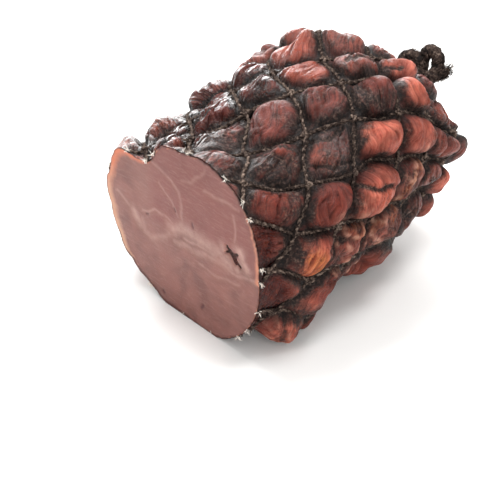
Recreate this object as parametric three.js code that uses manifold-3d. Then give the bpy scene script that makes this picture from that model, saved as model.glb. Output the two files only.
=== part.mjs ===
// Smoked ham: boned, tied in a string net, smoked, and cut flat across its near end.
// Lengths are in mm. The ham lies along Y with its cut face towards -Y and rests on z = 0.
import * as THREE from 'three';
import { mergeVertices } from 'three/addons/utils/BufferGeometryUtils.js';
import Module from 'manifold-3d';

// Ham: a rounded section at the cut face, scaled by the two profiles along its length
const faceHalfWidth = 70.6;
const faceHalfHeight = 60.4;
const squareness = 2.31;
const sectionTurn = 0.08;
const lobeShare = 0.04;
const lobeAngle = 0.93;
const sideShare = 0.03;
const hamLength = 199;
const stations = [0, 0.2, 0.45, 0.75, 1];
const widthProfile = [1, 1.15, 1.12, 1.07, 1.14];
const heightProfile = [1, 0.95, 1.11, 1.18, 0.85];
const endPower = 7;
const sideDrift = 9.2;
const poleHeight = 94.3;
const restSink = 3;
const faceLeanUp = -0.01;
const faceLeanSide = -0.073;

// Net: the strings run in two families, counted once round the ham, and cross in knots
const stringsDown = 14;
const stringsAlong = 9;
const firstKnotTurn = 44.4;
const firstKnotReach = 45.3;
const downTurn = -18.25;
const downReach = -19.5;
const alongTurn = -(360 + stringsDown * downTurn) / stringsAlong;
const alongReach = (-stringsDown * downReach) / stringsAlong;
const cordThickness = 3.6;
const cordGap = 2.6;
const evenShare = 0.06;
const knotDrift = 3;
const pullSpread = 0.62;

// Knots that sit off the even mesh: count down, count along, degrees round, mm from the cut
const placedKnots = [
  [0, 0, 44.5, 44],
  [-1, 0, 61.5, 65.5],
  [-2, 0, 78.5, 87.5],
  [-3, 0, 118, 102],
  [1, 0, 23, 30],
  [0, 1, 32, 80],
  [0, 2, 19.5, 116],
  [0, 3, 7, 150],
  [1, 1, 13, 57],
  [1, 2, 4.5, 95.5],
  [1, 3, -1.5, 130],
  [2, 1, -6.5, 35.5],
  [2, 2, -7.5, 63.5],
  [3, 2, -34.5, 43.5],
  [-1, 1, 48, 90],
  [-1, 2, 36.5, 124],
  [-1, 3, 27, 148.5],
  [-2, 1, 63.5, 105],
  [-3, 1, 87, 117],
  [-1, -1, 75, 34],
  [-2, -1, 102, 65.5],
  [0, -1, 49.5, 11.5],
];

// Mesh of the net: full size to meshShrinkFrom, then down to meshEndShare of it near the pole
const meshShrinkFrom = 110;
const meshShrinkTo = 180;
const meshEndShare = 0.8;

// Meat between the strings: pockets swell out of the mean surface, strings lie in the valleys
const bulgeHeight = 9.5;
const valleyShare = 0.55;
const bulgeRoundness = 0.6;
const faceFadeReach = 18;
const faceFadeShare = 0.25;
const poleFadeFrom = 195;
const poleFadeTo = 235;
const poleFadeShare = 0.85;

// Places that stand higher or lower than the mean surface, whatever the net does:
// degrees round, mm from the cut, mm high, reach round and reach along in mm
const skinPerDegree = 1.25;
const swellSteepness = 1.5;
const localSwells = [
  [131, 139, 5, 12, 12],
  [106, 137, 10, 13, 14],
  [133, 42, 4, 14, 16],
  [8, 182, 10, 16, 16],
  [321, 36, 8, 16, 18],
  [136, 77, -6, 16, 20],
  [141, 117, -4, 14, 16],
  [82, 137, -5, 11, 14],
  [58, 149, -9, 20, 18],
  [37, 167, -7, 15, 15],
  [334, 150, -9, 20, 20],
  [326, 78, -11, 18, 20],
  [126, -1, -12, 18, 13],
];

// Gathered end of the net: a knot on the pole, a loop, a hump and a frayed spur
const gatherRadius = 26;
const gatherThickness = 8;
const gatherStandOff = 3;
const gatherGap = 1.3;
const tailRadius = 4.2;
const humpRadius = 3.6;
const spurRadius = 2.4;
const loopRoute = [
  [20, 205, 97],
  [16.5, 209, 102],
  [15, 212, 107],
  [17, 214, 111.5],
  [21, 215, 112.5],
  [25, 214, 110.5],
  [26.5, 213, 106],
  [28, 210, 102],
  [26, 205, 98],
];
const humpRoute = [[20, 205, 100], [15, 209, 105], [8, 211, 106.5], [3, 210, 105], [1.5, 206, 102]];
const spurRoute = [[27, 206, 98.5], [31, 209, 99.5], [33.5, 212, 103], [35, 215, 108.5]];

// Fineness of the model: where a pocket has points from one string to the next
const pocketShares = [0, 0.15, 0.38, 0.62, 0.85];
const valleyFloor = 0.08;
const bodyLeadIn = -14;
const frontPoint = -40;
const stringLeadIn = -25;
const stringEnd = 236;
const stubFrom = 118;
const stubBefore = 230;
const countEachWay = 60;
const lapsEachWay = 2;
const turnWave = [0.33, 6];
const reachWave = [0.13, 5];
const heightSteps = 720;
const tableSteps = 600;
const tableSides = 24;
const slopeTurn = 0.01;
const slopeShift = 0.002;
const slopeEndShare = 0.3;
const slopeCount = 0.1;
const bunchSides = 16;
const bunchRings = 8;
const tailSides = 8;
const spurSides = 6;
const loopSteps = 18;
const humpSteps = 8;
const spurSteps = 7;
const tailUp = [0.2, 0.9, 0.4];

const wasm = await Module();
wasm.setup();

// Small helpers
function mix(a, b, share) {
  return a + (b - a) * share;
}

function ease(from, to, value) {
  const share = THREE.MathUtils.clamp((value - from) / (to - from), 0, 1);
  return share * share * (3 - 2 * share);
}

function chance(i, j, salt) {
  const value = Math.sin(i * 12.9898 + j * 78.233 + salt * 37.719) * 43758.5453;
  return value - Math.floor(value);
}

function profile(t, values) {
  const place = THREE.MathUtils.clamp(t, 0, 1);
  let k = 0;
  while (k < stations.length - 2 && place > stations[k + 1]) {
    k += 1;
  }
  const slope = (index) => {
    const before = Math.max(index - 1, 0);
    const after = Math.min(index + 1, stations.length - 1);
    return (values[after] - values[before]) / (stations[after] - stations[before]);
  };
  const span = stations[k + 1] - stations[k];
  const u = (place - stations[k]) / span;
  const start = values[k] * (1 + 2 * u) * (1 - u) ** 2 + span * slope(k) * u * (1 - u) ** 2;
  const end = values[k + 1] * u * u * (3 - 2 * u) + span * slope(k + 1) * u * u * (u - 1);
  return start + end;
}

// Mean surface of the ham, at an angle round it and a share t of its length
function sectionRadius(angle) {
  const across = Math.abs(Math.cos(angle - sectionTurn)) / faceHalfWidth;
  const high = Math.abs(Math.sin(angle - sectionTurn)) / faceHalfHeight;
  const round = (across ** squareness + high ** squareness) ** (-1 / squareness);
  const lobes = 1 + lobeShare * Math.cos(3 * (angle - lobeAngle));
  return round * lobes * (1 + sideShare * Math.cos(angle));
}

let centreHeight = 0;
for (let step = 0; step < heightSteps; step += 1) {
  const angle = (step * 2 * Math.PI) / heightSteps;
  centreHeight = Math.max(centreHeight, -sectionRadius(angle) * Math.sin(angle));
}

function bodyPoint(angle, t) {
  const closing = Math.sqrt(Math.max(0, 1 - Math.abs(t) ** endPower));
  const across = sectionRadius(angle) * Math.cos(angle) * profile(t, widthProfile) * closing;
  const up = sectionRadius(angle) * Math.sin(angle) * profile(t, heightProfile) * closing;
  const lean = (faceLeanUp * up + faceLeanSide * across) * (1 - t) ** 2;
  const rise = (poleHeight - centreHeight * profile(1, heightProfile)) * (1 - closing);
  const centre = centreHeight * profile(t, heightProfile) + rise - restSink;
  return new THREE.Vector3(sideDrift * t + across, hamLength * t + lean, centre + up);
}

function bodyNormal(angle, t) {
  const shift = Math.min(slopeShift, (1 - t) * slopeEndShare + 1e-6);
  const round = bodyPoint(angle + slopeTurn, t).sub(bodyPoint(angle - slopeTurn, t));
  const along = bodyPoint(angle, Math.min(t + shift, 1)).sub(bodyPoint(angle, t - shift));
  return along.cross(round).normalize();
}

// Distance from the cut along the surface, and the same distance counted in net meshes
const reachTable = [{ t: 0, reach: 0, mesh: 0 }];
for (let step = 1; step <= tableSteps; step += 1) {
  const before = reachTable[step - 1];
  const t = 1 - (1 - step / tableSteps) ** 2;
  let length = 0;
  for (let side = 0; side < tableSides; side += 1) {
    const angle = (side * 2 * Math.PI) / tableSides;
    length += bodyPoint(angle, t).distanceTo(bodyPoint(angle, before.t)) / tableSides;
  }
  const size = mix(1, meshEndShare, ease(meshShrinkFrom, meshShrinkTo, before.reach));
  reachTable.push({ t, reach: before.reach + length, mesh: before.mesh + length / size });
}

function lookUp(value, from, to) {
  if (value <= 0) {
    const near = reachTable[4];
    return (value * near[to]) / near[from];
  }
  let low = 0;
  let high = reachTable.length - 1;
  while (high - low > 1) {
    const middle = (low + high) >> 1;
    if (reachTable[middle][from] > value) {
      high = middle;
    } else {
      low = middle;
    }
  }
  const a = reachTable[low];
  const b = reachTable[high];
  const share = Math.min((value - a[from]) / (b[from] - a[from]), 1);
  return mix(a[to], b[to], share);
}

// Knots: an even mesh, pulled towards the placed knots near them
function evenKnot(down, along) {
  const turn = firstKnotTurn + downTurn * down + alongTurn * along;
  const mesh = firstKnotReach + downReach * down + alongReach * along;
  return [turn, mesh];
}

const pulls = placedKnots.map(([down, along, turn, reach]) => {
  const even = evenKnot(down, along);
  return { down, along, turn: turn - even[0], mesh: lookUp(reach, 'reach', 'mesh') - even[1] };
});

// A wave over the net that meets itself after one lap round the ham
function roundWave(down, along, perDown, perLap) {
  const perAlong = (perLap - stringsDown * perDown) / stringsAlong;
  return Math.sin(2 * Math.PI * (down * perDown + along * perAlong));
}

function pullAt(down, along) {
  let weights = evenShare;
  let turn = 0;
  let mesh = 0;
  for (const pull of pulls) {
    for (let lap = -lapsEachWay; lap <= lapsEachWay; lap += 1) {
      const awayDown = down - pull.down - lap * stringsDown;
      const awayAlong = along - pull.along - lap * stringsAlong;
      const away = (awayDown ** 2 + awayAlong ** 2) / (2 * pullSpread ** 2);
      const weight = Math.exp(-away);
      weights += weight;
      turn += weight * pull.turn;
      mesh += weight * pull.mesh;
    }
  }
  const waveTurn = knotDrift * roundWave(down, along, ...turnWave);
  const waveMesh = knotDrift * roundWave(down, along, ...reachWave);
  return [(turn + evenShare * waveTurn) / weights, (mesh + evenShare * waveMesh) / weights];
}

function netPlace(down, along) {
  const even = evenKnot(down, along);
  const pull = pullAt(down, along);
  return [even[0] + pull[0], even[1] + pull[1]];
}

function netPlaceReach(down, along) {
  const [turn, mesh] = netPlace(down, along);
  return [turn, lookUp(mesh, 'mesh', 'reach')];
}

function sameCell(down, along) {
  const lap = Math.floor(along / stringsAlong);
  return [down - lap * stringsDown, along - lap * stringsAlong];
}

function localSwell(turn, reach) {
  let height = 0;
  for (const [swellTurn, swellReach, rise, wideRound, wideAlong] of localSwells) {
    const apart = THREE.MathUtils.euclideanModulo(turn - swellTurn + 180, 360) - 180;
    const away = ((apart * skinPerDegree) / wideRound) ** 2 + ((reach - swellReach) / wideAlong) ** 2;
    height += rise * Math.exp(-(away ** swellSteepness));
  }
  return height;
}

// A point on the ham at a height above its mean surface
function skinPoint(turn, reach, height) {
  const t = lookUp(reach, 'reach', 't');
  const angle = THREE.MathUtils.degToRad(turn);
  const rise = height + localSwell(turn, reach);
  return bodyPoint(angle, t).addScaledVector(bodyNormal(angle, t), rise);
}

// Height of the meat above the mean surface: down and along are counts of strings
function meatHeight(down, along, reach) {
  const [cellDown, cellAlong] = sameCell(Math.floor(down), Math.floor(along));
  const size = mix(0.75, 1.15, chance(cellDown, cellAlong, 1));
  const shareDown = down - Math.floor(down);
  const shareAlong = along - Math.floor(along);
  const swellDown = ease(valleyFloor, 0.5, Math.min(shareDown, 1 - shareDown));
  const swellAlong = ease(valleyFloor, 0.5, Math.min(shareAlong, 1 - shareAlong));
  const swell = (swellDown * swellAlong) ** bulgeRoundness * size;
  const faceFade = mix(faceFadeShare, 1, ease(0, faceFadeReach, reach));
  const poleFade = 1 - ease(poleFadeFrom, poleFadeTo, reach) * poleFadeShare;
  return bulgeHeight * (swell - valleyShare) * faceFade * poleFade;
}

// Solids in and out of the joining and cutting library
function toSolid(geometry) {
  const bare = geometry.clone();
  bare.deleteAttribute('normal');
  bare.deleteAttribute('uv');
  const merged = mergeVertices(bare, 1e-4);
  const vertProperties = new Float32Array(merged.attributes.position.array);
  const triVerts = new Uint32Array(merged.index.array);
  return new wasm.Manifold(new wasm.Mesh({ numProp: 3, vertProperties, triVerts }));
}

function toGeometry(solid) {
  const mesh = solid.getMesh();
  const geometry = new THREE.BufferGeometry();
  const places = new Float32Array(mesh.numVert * 3);
  for (let v = 0; v < mesh.numVert; v += 1) {
    for (let axis = 0; axis < 3; axis += 1) {
      places[v * 3 + axis] = mesh.vertProperties[v * mesh.numProp + axis];
    }
  }
  geometry.setAttribute('position', new THREE.BufferAttribute(places, 3));
  geometry.setIndex(new THREE.BufferAttribute(new Uint32Array(mesh.triVerts), 1));
  geometry.computeVertexNormals();
  return geometry;
}

function facesToSolid(points, faces) {
  const geometry = new THREE.BufferGeometry();
  geometry.setAttribute('position', new THREE.Float32BufferAttribute(points.flatMap((p) => p.toArray()), 3));
  geometry.setIndex(faces);
  return toSolid(geometry);
}

// Ham body: each pocket is a small grid, from the front point to the pole
function buildHam() {
  const points = [new THREE.Vector3(0, frontPoint, centreHeight), bodyPoint(0, 1)];
  const faces = [];
  const known = new Map();
  const last = pocketShares.length;
  const lastReach = reachTable[reachTable.length - 1].reach;
  const pointAt = (down, stepDown, along, stepAlong) => {
    const overDown = Math.floor(stepDown / last);
    const overAlong = Math.floor(stepAlong / last);
    const [cellDown, cellAlong] = sameCell(down + overDown, along + overAlong);
    const key = [cellDown, stepDown % last, cellAlong, stepAlong % last].join();
    if (!known.has(key)) {
      const countDown = cellDown + pocketShares[stepDown % last];
      const countAlong = cellAlong + pocketShares[stepAlong % last];
      const [turn, mesh] = netPlace(countDown, countAlong);
      const reach = lookUp(mesh, 'mesh', 'reach');
      if (reach < bodyLeadIn) {
        known.set(key, 0);
      } else if (reach >= lastReach - 1) {
        known.set(key, 1);
      } else {
        points.push(skinPoint(turn, reach, meatHeight(countDown, countAlong, reach)));
        known.set(key, points.length - 1);
      }
    }
    return known.get(key);
  };
  const addFace = (a, b, c) => {
    if (a !== b && b !== c && c !== a) {
      faces.push(a, b, c);
    }
  };
  for (let along = 0; along < stringsAlong; along += 1) {
    for (let down = -countEachWay; down < countEachWay; down += 1) {
      for (let k = 0; k < last; k += 1) {
        for (let m = 0; m < last; m += 1) {
          const corners = [[0, 0], [1, 0], [1, 1], [0, 1]].map(([a, b]) => (
            pointAt(down, k + a, along, m + b)
          ));
          addFace(corners[0], corners[1], corners[2]);
          addFace(corners[0], corners[2], corners[3]);
        }
      }
    }
  }
  return facesToSolid(points, faces);
}

// Net: square-edged cords lying on the valley floors, joined at the knots
function buildStrings() {
  const points = [];
  const faces = [];
  const known = new Map();
  const hasKnot = (down, along) => {
    const reach = netPlaceReach(...sameCell(down, along))[1];
    return reach > stringLeadIn && reach < stringEnd;
  };
  const isNearPole = (down, along) => {
    const reach = netPlaceReach(...sameCell(down, along))[1];
    return reach > stubFrom && reach < stubBefore;
  };
  const halfWidth = (down, along) => {
    const here = skinPoint(...netPlaceReach(down, along), 0);
    const ahead = skinPoint(...netPlaceReach(down + slopeCount, along), 0);
    const beside = skinPoint(...netPlaceReach(down, along + slopeCount), 0);
    return [ahead, beside].map((point) => (cordThickness / 2) * (slopeCount / here.distanceTo(point)));
  };
  const pointAt = (down, along, sideDown, sideAlong, level) => {
    const [cellDown, cellAlong] = sameCell(down, along);
    const key = [cellDown, cellAlong, sideDown, sideAlong, level].join();
    if (!known.has(key)) {
      const [wideDown, wideAlong] = halfWidth(cellDown, cellAlong);
      const countDown = cellDown + sideDown * wideDown;
      const countAlong = cellAlong + sideAlong * wideAlong;
      const [turn, reach] = netPlaceReach(countDown, countAlong);
      const floor = meatHeight(Math.round(cellDown), Math.round(cellAlong), reach);
      points.push(skinPoint(turn, reach, floor + cordGap + level * cordThickness));
      known.set(key, points.length - 1);
    }
    return known.get(key);
  };
  const addQuad = (a, b, c, d) => {
    faces.push(a, b, c, a, c, d);
  };
  // One block between four corners, each [down, along, sideDown, sideAlong], with its open sides walled
  const addBlock = (corners, walls) => {
    const low = corners.map((corner) => pointAt(...corner, 0));
    const high = corners.map((corner) => pointAt(...corner, 1));
    addQuad(high[0], high[1], high[2], high[3]);
    addQuad(low[3], low[2], low[1], low[0]);
    walls.forEach((wall, side) => {
      if (wall) {
        const next = (side + 1) % 4;
        addQuad(high[next], high[side], low[side], low[next]);
      }
    });
  };
  for (let along = 0; along < stringsAlong; along += 1) {
    for (let down = -countEachWay; down < countEachWay; down += 1) {
      if (hasKnot(down, along)) {
        const below = hasKnot(down + 1, along);
        const beyond = hasKnot(down, along + 1);
        const above = hasKnot(down - 1, along);
        const before = hasKnot(down, along - 1);
        const nearPole = isNearPole(down, along);
        const beyondStub = nearPole && !beyond;
        const aboveStub = nearPole && !above;
        addBlock(
          [[-1, -1], [1, -1], [1, 1], [-1, 1]].map(([a, b]) => [down, along, a, b]),
          [!before, !below, !(beyond || beyondStub), !(above || aboveStub)],
        );
        if (below) {
          const half = down + 0.5;
          addBlock(
            [[down, along, 1, -1], [half, along, 0, -1], [half, along, 0, 1], [down, along, 1, 1]],
            [true, false, true, false],
          );
          addBlock(
            [[half, along, 0, -1], [down + 1, along, -1, -1], [down + 1, along, -1, 1], [half, along, 0, 1]],
            [true, false, true, false],
          );
        }
        if (beyond) {
          const half = along + 0.5;
          addBlock(
            [[down, along, -1, 1], [down, along, 1, 1], [down, half, 1, 0], [down, half, -1, 0]],
            [false, true, false, true],
          );
          addBlock(
            [[down, half, -1, 0], [down, half, 1, 0], [down, along + 1, 1, -1], [down, along + 1, -1, -1]],
            [false, true, false, true],
          );
        } else if (beyondStub) {
          const half = along + 0.5;
          addBlock(
            [[down, along, -1, 1], [down, along, 1, 1], [down, half, 1, 0], [down, half, -1, 0]],
            [false, true, true, true],
          );
        }
        if (aboveStub) {
          const half = down - 0.5;
          addBlock(
            [[half, along, 0, -1], [down, along, -1, -1], [down, along, -1, 1], [half, along, 0, 1]],
            [true, false, true, true],
          );
        }
      }
    }
  }
  return facesToSolid(points, faces);
}

// Gathered end: pole knot, loop, hump and spur
function tube(path, normals, radius, sides) {
  const points = [];
  const faces = [];
  path.forEach((centre, k) => {
    const ahead = path[Math.min(k + 1, path.length - 1)].clone();
    const run = ahead.sub(path[Math.max(k - 1, 0)]).normalize();
    const side = new THREE.Vector3().crossVectors(run, normals[k]).normalize();
    const up = new THREE.Vector3().crossVectors(side, run);
    for (let corner = 0; corner < sides; corner += 1) {
      const angle = (corner * 2 * Math.PI) / sides;
      const point = centre.clone().addScaledVector(up, radius * Math.cos(angle));
      points.push(point.addScaledVector(side, -radius * Math.sin(angle)));
    }
  });
  const start = points.length;
  points.push(path[0], path[path.length - 1]);
  const last = (path.length - 1) * sides;
  for (let side = 0; side < sides; side += 1) {
    const next = (side + 1) % sides;
    faces.push(start, side, next);
    faces.push(start + 1, last + next, last + side);
    for (let here = 0; here < last; here += sides) {
      faces.push(here + side, here + sides + side, here + sides + next);
      faces.push(here + side, here + sides + next, here + next);
    }
  }
  return facesToSolid(points, faces);
}

function curveTube(points, radius, sides, steps) {
  const curve = new THREE.CatmullRomCurve3(points.map((p) => new THREE.Vector3(...p)));
  const path = curve.getPoints(steps);
  const normals = path.map(() => new THREE.Vector3(...tailUp).normalize());
  return tube(path, normals, radius, sides);
}

function buildGather(hamSolid) {
  const pole = bodyPoint(0, 1);
  const bunch = new THREE.SphereGeometry(1, bunchSides, bunchRings);
  bunch.scale(gatherRadius, gatherThickness, gatherRadius);
  bunch.translate(pole.x, pole.y + gatherStandOff, pole.z);
  const loop = curveTube(loopRoute, tailRadius, tailSides, loopSteps);
  const hump = curveTube(humpRoute, humpRadius, tailSides, humpSteps);
  const spur = curveTube(spurRoute, spurRadius, spurSides, spurSteps);
  const tail = wasm.Manifold.union([toSolid(bunch), loop, hump, spur]);
  return tail.subtract(hamSolid.translate([0, gatherGap, 0]));
}

// Cuts: everything in front of the cut face, and everything below the table
function cutBlocks() {
  const size = 600;
  const front = new THREE.BoxGeometry(size, size, size);
  front.translate(0, -size / 2, 0);
  const normal = new THREE.Vector3(-faceLeanSide, 1, -faceLeanUp).normalize();
  const turn = new THREE.Quaternion().setFromUnitVectors(new THREE.Vector3(0, 1, 0), normal);
  front.applyQuaternion(turn);
  front.translate(0, 0, centreHeight);
  const below = new THREE.BoxGeometry(size, size, size);
  below.translate(0, 0, -size / 2);
  return toSolid(front).add(toSolid(below));
}

function withoutScraps(solid) {
  return solid.decompose().reduce((kept, piece) => (piece.volume() > kept.volume() ? piece : kept));
}

const hamMaterial = new THREE.MeshStandardMaterial({ color: 0x6e3a30, roughness: 0.45, metalness: 0 });
const netMaterial = new THREE.MeshStandardMaterial({ color: 0x3a332d, roughness: 0.9, metalness: 0 });

const cuts = cutBlocks();
const wholeHam = buildHam();
const hamMesh = new THREE.Mesh(toGeometry(wholeHam.subtract(cuts)), hamMaterial);
hamMesh.name = 'ham';
const netSolid = withoutScraps(buildStrings().add(buildGather(wholeHam)).subtract(cuts));
const netMesh = new THREE.Mesh(toGeometry(netSolid), netMaterial);
netMesh.name = 'net';

// The origin is the middle of the whole part's footprint
const group = new THREE.Group();
group.add(hamMesh, netMesh);
const middle = new THREE.Box3().setFromObject(group).getCenter(new THREE.Vector3());
group.position.set(-middle.x, -middle.y, 0);

export default group;
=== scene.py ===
# Smoked ham tied in a string net and cut across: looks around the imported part.
import functools
import math
import random

import bpy
import numpy as np
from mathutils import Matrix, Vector, noise


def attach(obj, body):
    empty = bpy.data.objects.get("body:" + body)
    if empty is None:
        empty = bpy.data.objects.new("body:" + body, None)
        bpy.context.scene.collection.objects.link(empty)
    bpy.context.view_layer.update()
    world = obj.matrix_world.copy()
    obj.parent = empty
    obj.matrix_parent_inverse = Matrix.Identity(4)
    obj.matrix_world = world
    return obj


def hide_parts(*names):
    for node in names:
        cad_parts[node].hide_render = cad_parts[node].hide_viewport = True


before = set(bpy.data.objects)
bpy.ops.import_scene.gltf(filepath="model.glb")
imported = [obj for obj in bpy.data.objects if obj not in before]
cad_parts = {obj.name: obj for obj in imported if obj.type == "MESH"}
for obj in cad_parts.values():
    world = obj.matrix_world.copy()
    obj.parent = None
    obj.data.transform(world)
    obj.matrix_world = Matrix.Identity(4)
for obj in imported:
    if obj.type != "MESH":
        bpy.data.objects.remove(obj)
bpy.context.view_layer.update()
bpy.context.scene.view_settings.view_transform = "Standard"
print("frame loaded:", sorted(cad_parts))

mm = 0.001
packShift = np.array([-1.446, -106.694, 0.0])  # the part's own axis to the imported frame, mm
degreeMm = 1.25  # one degree round the ham, as mm on its skin
meshMm = 33.0  # one mesh of the net, mm

# The ham's mean surface and its net, as the part's source has them, in mm and degrees
shape = {
    "halfWidth": 70.6, "halfHeight": 60.4, "squareness": 2.31, "turn": 0.08,
    "lobe": 0.04, "lobeAngle": 0.93, "side": 0.03, "length": 199.0,
    "stations": [0, 0.2, 0.45, 0.75, 1],
    "widths": [1, 1.15, 1.12, 1.07, 1.14], "heights": [1, 0.95, 1.11, 1.18, 0.85],
    "endPower": 7, "drift": 9.2, "poleHeight": 94.3, "sink": 3.0,
    "leanUp": -0.01, "leanSide": -0.073,
}
net = {
    "down": 14, "along": 9, "firstTurn": 44.4, "firstReach": 45.3,
    "downTurn": -18.25, "downReach": -19.5,
    "even": 0.06, "drift": 3.0, "spread": 0.62,
    "shrinkFrom": 110, "shrinkTo": 180, "endSize": 0.8,
    "bulge": 9.5, "valley": 0.55, "floor": 0.08,
    "knots": [
        [0, 0, 44.5, 44], [-1, 0, 61.5, 65.5], [-2, 0, 78.5, 87.5], [-3, 0, 118, 102],
        [1, 0, 23, 30], [0, 1, 32, 80], [0, 2, 19.5, 116], [0, 3, 7, 150],
        [1, 1, 13, 57], [1, 2, 4.5, 95.5], [1, 3, -1.5, 130], [2, 1, -6.5, 35.5],
        [2, 2, -7.5, 63.5], [3, 2, -34.5, 43.5], [-1, 1, 48, 90], [-1, 2, 36.5, 124],
        [-1, 3, 27, 148.5], [-2, 1, 63.5, 105], [-3, 1, 87, 117], [-1, -1, 75, 34],
        [-2, -1, 102, 65.5], [0, -1, 49.5, 11.5],
    ],
}
# Places that stand higher or lower: degrees round, mm from the cut, mm high, reach round and along
localSwells = [
    (131, 139, 5, 12, 12), (106, 137, 10, 13, 14), (133, 42, 4, 14, 16), (8, 182, 10, 16, 16),
    (321, 36, 8, 16, 18), (136, 77, -6, 16, 20), (141, 117, -4, 14, 16), (82, 137, -5, 11, 14),
    (58, 149, -9, 20, 18), (37, 167, -7, 15, 15), (334, 150, -9, 20, 20), (326, 78, -11, 18, 20),
    (126, -1, -12, 18, 13),
]
net["alongTurn"] = -(360 + net["down"] * net["downTurn"]) / net["along"]
net["alongReach"] = -net["down"] * net["downReach"] / net["along"]


def ease(low, high, value):
    share = np.clip((value - low) / (high - low), 0, 1)
    return share * share * (3 - 2 * share)


def mix(a, b, share):
    return a + (b - a) * share


def unit(vectors):
    return vectors / np.linalg.norm(vectors, axis=-1, keepdims=True)


def distances(path):
    return np.concatenate([[0], np.cumsum(np.linalg.norm(np.diff(path, axis=0), axis=1))])


def chance(i, j, salt):
    value = np.sin(i * 12.9898 + j * 78.233 + salt * 37.719) * 43758.5453
    return value - np.floor(value)


def profile(t, values):
    stations, values = np.array(shape["stations"]), np.array(values, float)
    slopes = np.empty(len(values))
    slopes[1:-1] = (values[2:] - values[:-2]) / (stations[2:] - stations[:-2])
    slopes[0] = (values[1] - values[0]) / (stations[1] - stations[0])
    slopes[-1] = (values[-1] - values[-2]) / (stations[-1] - stations[-2])
    t = np.clip(t, 0, 1)
    k = np.clip(np.searchsorted(stations, t, side="right") - 1, 0, len(values) - 2)
    span = stations[k + 1] - stations[k]
    u = (t - stations[k]) / span
    start = values[k] * (1 + 2 * u) * (1 - u) ** 2 + span * slopes[k] * u * (1 - u) ** 2
    return start + values[k + 1] * u * u * (3 - 2 * u) + span * slopes[k + 1] * u * u * (u - 1)


def sectionRadius(angle):
    across = np.abs(np.cos(angle - shape["turn"])) / shape["halfWidth"]
    high = np.abs(np.sin(angle - shape["turn"])) / shape["halfHeight"]
    power = shape["squareness"]
    ring = (across ** power + high ** power) ** (-1 / power)
    lobes = 1 + shape["lobe"] * np.cos(3 * (angle - shape["lobeAngle"]))
    return ring * lobes * (1 + shape["side"] * np.cos(angle))


allRound = np.arange(720) * math.pi / 360
centreHeight = float((-sectionRadius(allRound) * np.sin(allRound)).max())


def bodyPoint(angle, t):
    closing = np.sqrt(np.maximum(0, 1 - np.abs(t) ** shape["endPower"]))
    across = sectionRadius(angle) * np.cos(angle) * profile(t, shape["widths"]) * closing
    up = sectionRadius(angle) * np.sin(angle) * profile(t, shape["heights"]) * closing
    lean = (shape["leanUp"] * up + shape["leanSide"] * across) * (1 - t) ** 2
    rise = (shape["poleHeight"] - centreHeight * shape["heights"][-1]) * (1 - closing)
    centre = centreHeight * profile(t, shape["heights"]) + rise - shape["sink"]
    return np.stack([shape["drift"] * t + across, shape["length"] * t + lean, centre + up], -1)


def bodyNormal(angle, t):
    shift = np.minimum(0.002, (1 - t) * 0.3 + 1e-6)
    ring = bodyPoint(angle + 0.01, t) - bodyPoint(angle - 0.01, t)
    along = bodyPoint(angle, np.minimum(t + shift, 1)) - bodyPoint(angle, t - shift)
    normal = np.cross(along, ring)
    return normal / np.maximum(np.linalg.norm(normal, axis=-1, keepdims=True), 1e-12)


# Distance from the cut along the surface, and the same distance counted in net meshes
tableT = 1 - (1 - np.arange(601) / 600) ** 2
ringAngles = np.arange(24) * math.pi / 12
rings = bodyPoint(ringAngles[None, :], tableT[:, None])
ringSteps = np.linalg.norm(np.diff(rings, axis=0), axis=-1).mean(1)
tableReach = np.concatenate([[0], np.cumsum(ringSteps)])
tableSize = mix(1, net["endSize"], ease(net["shrinkFrom"], net["shrinkTo"], tableReach[:-1]))
tableMesh = np.concatenate([[0], np.cumsum(ringSteps / tableSize)])
lastReach = float(tableReach[-1])


def lookUp(value, fromTable, toTable):
    inside = np.interp(value, fromTable, toTable)
    return np.where(value > 0, inside, value * toTable[4] / fromTable[4])


def evenKnot(down, along):
    turn = net["firstTurn"] + net["downTurn"] * down + net["alongTurn"] * along
    return turn, net["firstReach"] + net["downReach"] * down + net["alongReach"] * along


pulls = []
for knotDown, knotAlong, knotTurn, knotReach in net["knots"]:
    evenTurn, evenReach = evenKnot(knotDown, knotAlong)
    knotMesh = float(lookUp(knotReach, tableReach, tableMesh))
    pulls.append((knotDown, knotAlong, knotTurn - evenTurn, knotMesh - evenReach))


def roundWave(down, along, perDown, perLap):
    perAlong = (perLap - net["down"] * perDown) / net["along"]
    return np.sin(2 * math.pi * (down * perDown + along * perAlong))


def pullAt(down, along):
    weights = np.full(np.shape(down), net["even"])
    turn, mesh = np.zeros(np.shape(down)), np.zeros(np.shape(down))
    for knotDown, knotAlong, pullTurn, pullMesh in pulls:
        for lap in range(-2, 3):
            away = (down - knotDown - lap * net["down"]) ** 2 + (along - knotAlong - lap * net["along"]) ** 2
            weight = np.exp(-away / (2 * net["spread"] ** 2))
            weights = weights + weight
            turn = turn + weight * pullTurn
            mesh = mesh + weight * pullMesh
    share = net["even"] * net["drift"]
    turn = (turn + share * roundWave(down, along, 0.33, 6)) / weights
    return turn, (mesh + share * roundWave(down, along, 0.13, 5)) / weights


def netPlace(down, along):
    evenTurn, evenMesh = evenKnot(down, along)
    turn, mesh = pullAt(down, along)
    return evenTurn + turn, lookUp(evenMesh + mesh, tableMesh, tableReach)


def netCount(turn, reach):
    mesh = lookUp(reach, tableReach, tableMesh)
    pullTurn, pullMesh = 0, 0
    det = net["downTurn"] * net["alongReach"] - net["alongTurn"] * net["downReach"]
    for _ in range(9):
        a = turn - net["firstTurn"] - pullTurn
        b = mesh - net["firstReach"] - pullMesh
        down = (a * net["alongReach"] - b * net["alongTurn"]) / det
        along = (b * net["downTurn"] - a * net["downReach"]) / det
        pullTurn, pullMesh = pullAt(down, along)
    return down, along


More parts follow.
